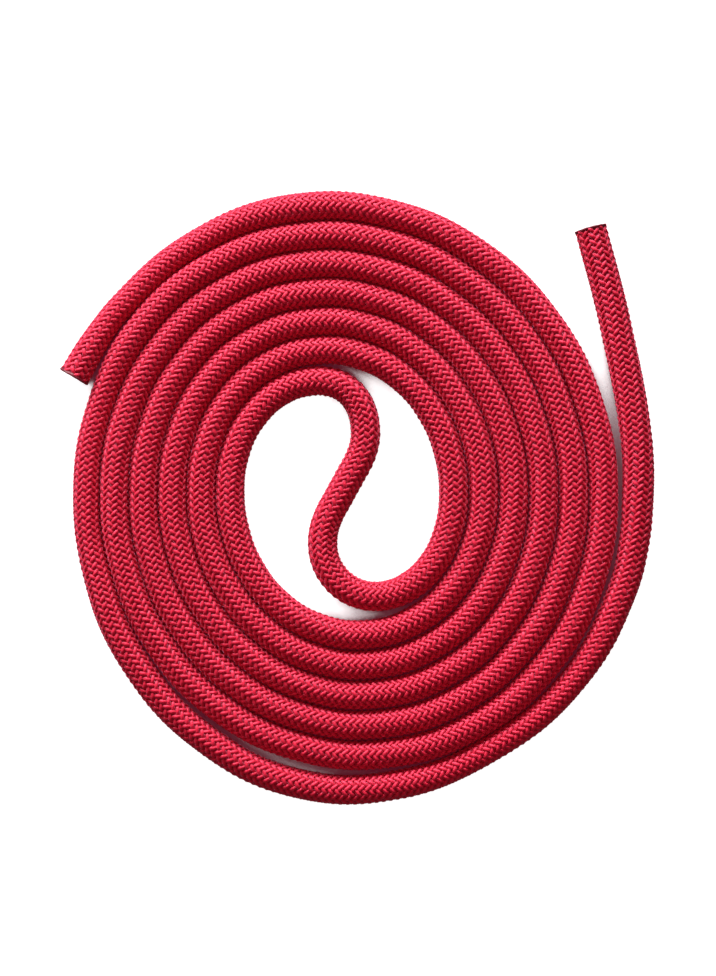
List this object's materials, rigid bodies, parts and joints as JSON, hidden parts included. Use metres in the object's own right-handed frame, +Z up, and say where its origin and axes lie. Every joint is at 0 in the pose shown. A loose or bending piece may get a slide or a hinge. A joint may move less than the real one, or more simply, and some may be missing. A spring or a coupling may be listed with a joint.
{
  "type": "jump rope",
  "caption": "Handle-less braided jump rope with a yarn core and heat-sealed ends, laid flat in a double coil round a small S.",
  "frame": {"origin": "on the surface that the coil lies on, under the middle of the whole rope's outline", "axes": "+Z up, away from that surface; +Y towards the side where the free end points; +X towards the side of the free end"},
  "size_m": [0.2102, 0.215, 0.0095],
  "materials": {
    "sheath": "crimson braided synthetic yarn, soft sheen",
    "core": "undyed filament yarn, matt",
    "tip": "melted dark red yarn ends, slightly shiny"
  },
  "bodies": {
    "root": {"braided_sheath": "sheath", "core_yarn_centre": "core", "core_yarn_1": "core", "core_yarn_2": "core", "core_yarn_3": "core", "core_yarn_4": "core", "core_yarn_5": "core", "core_yarn_6": "core", "sealed_tip_left": "tip", "sealed_tip_right": "tip"}
  },
  "joints": []
}
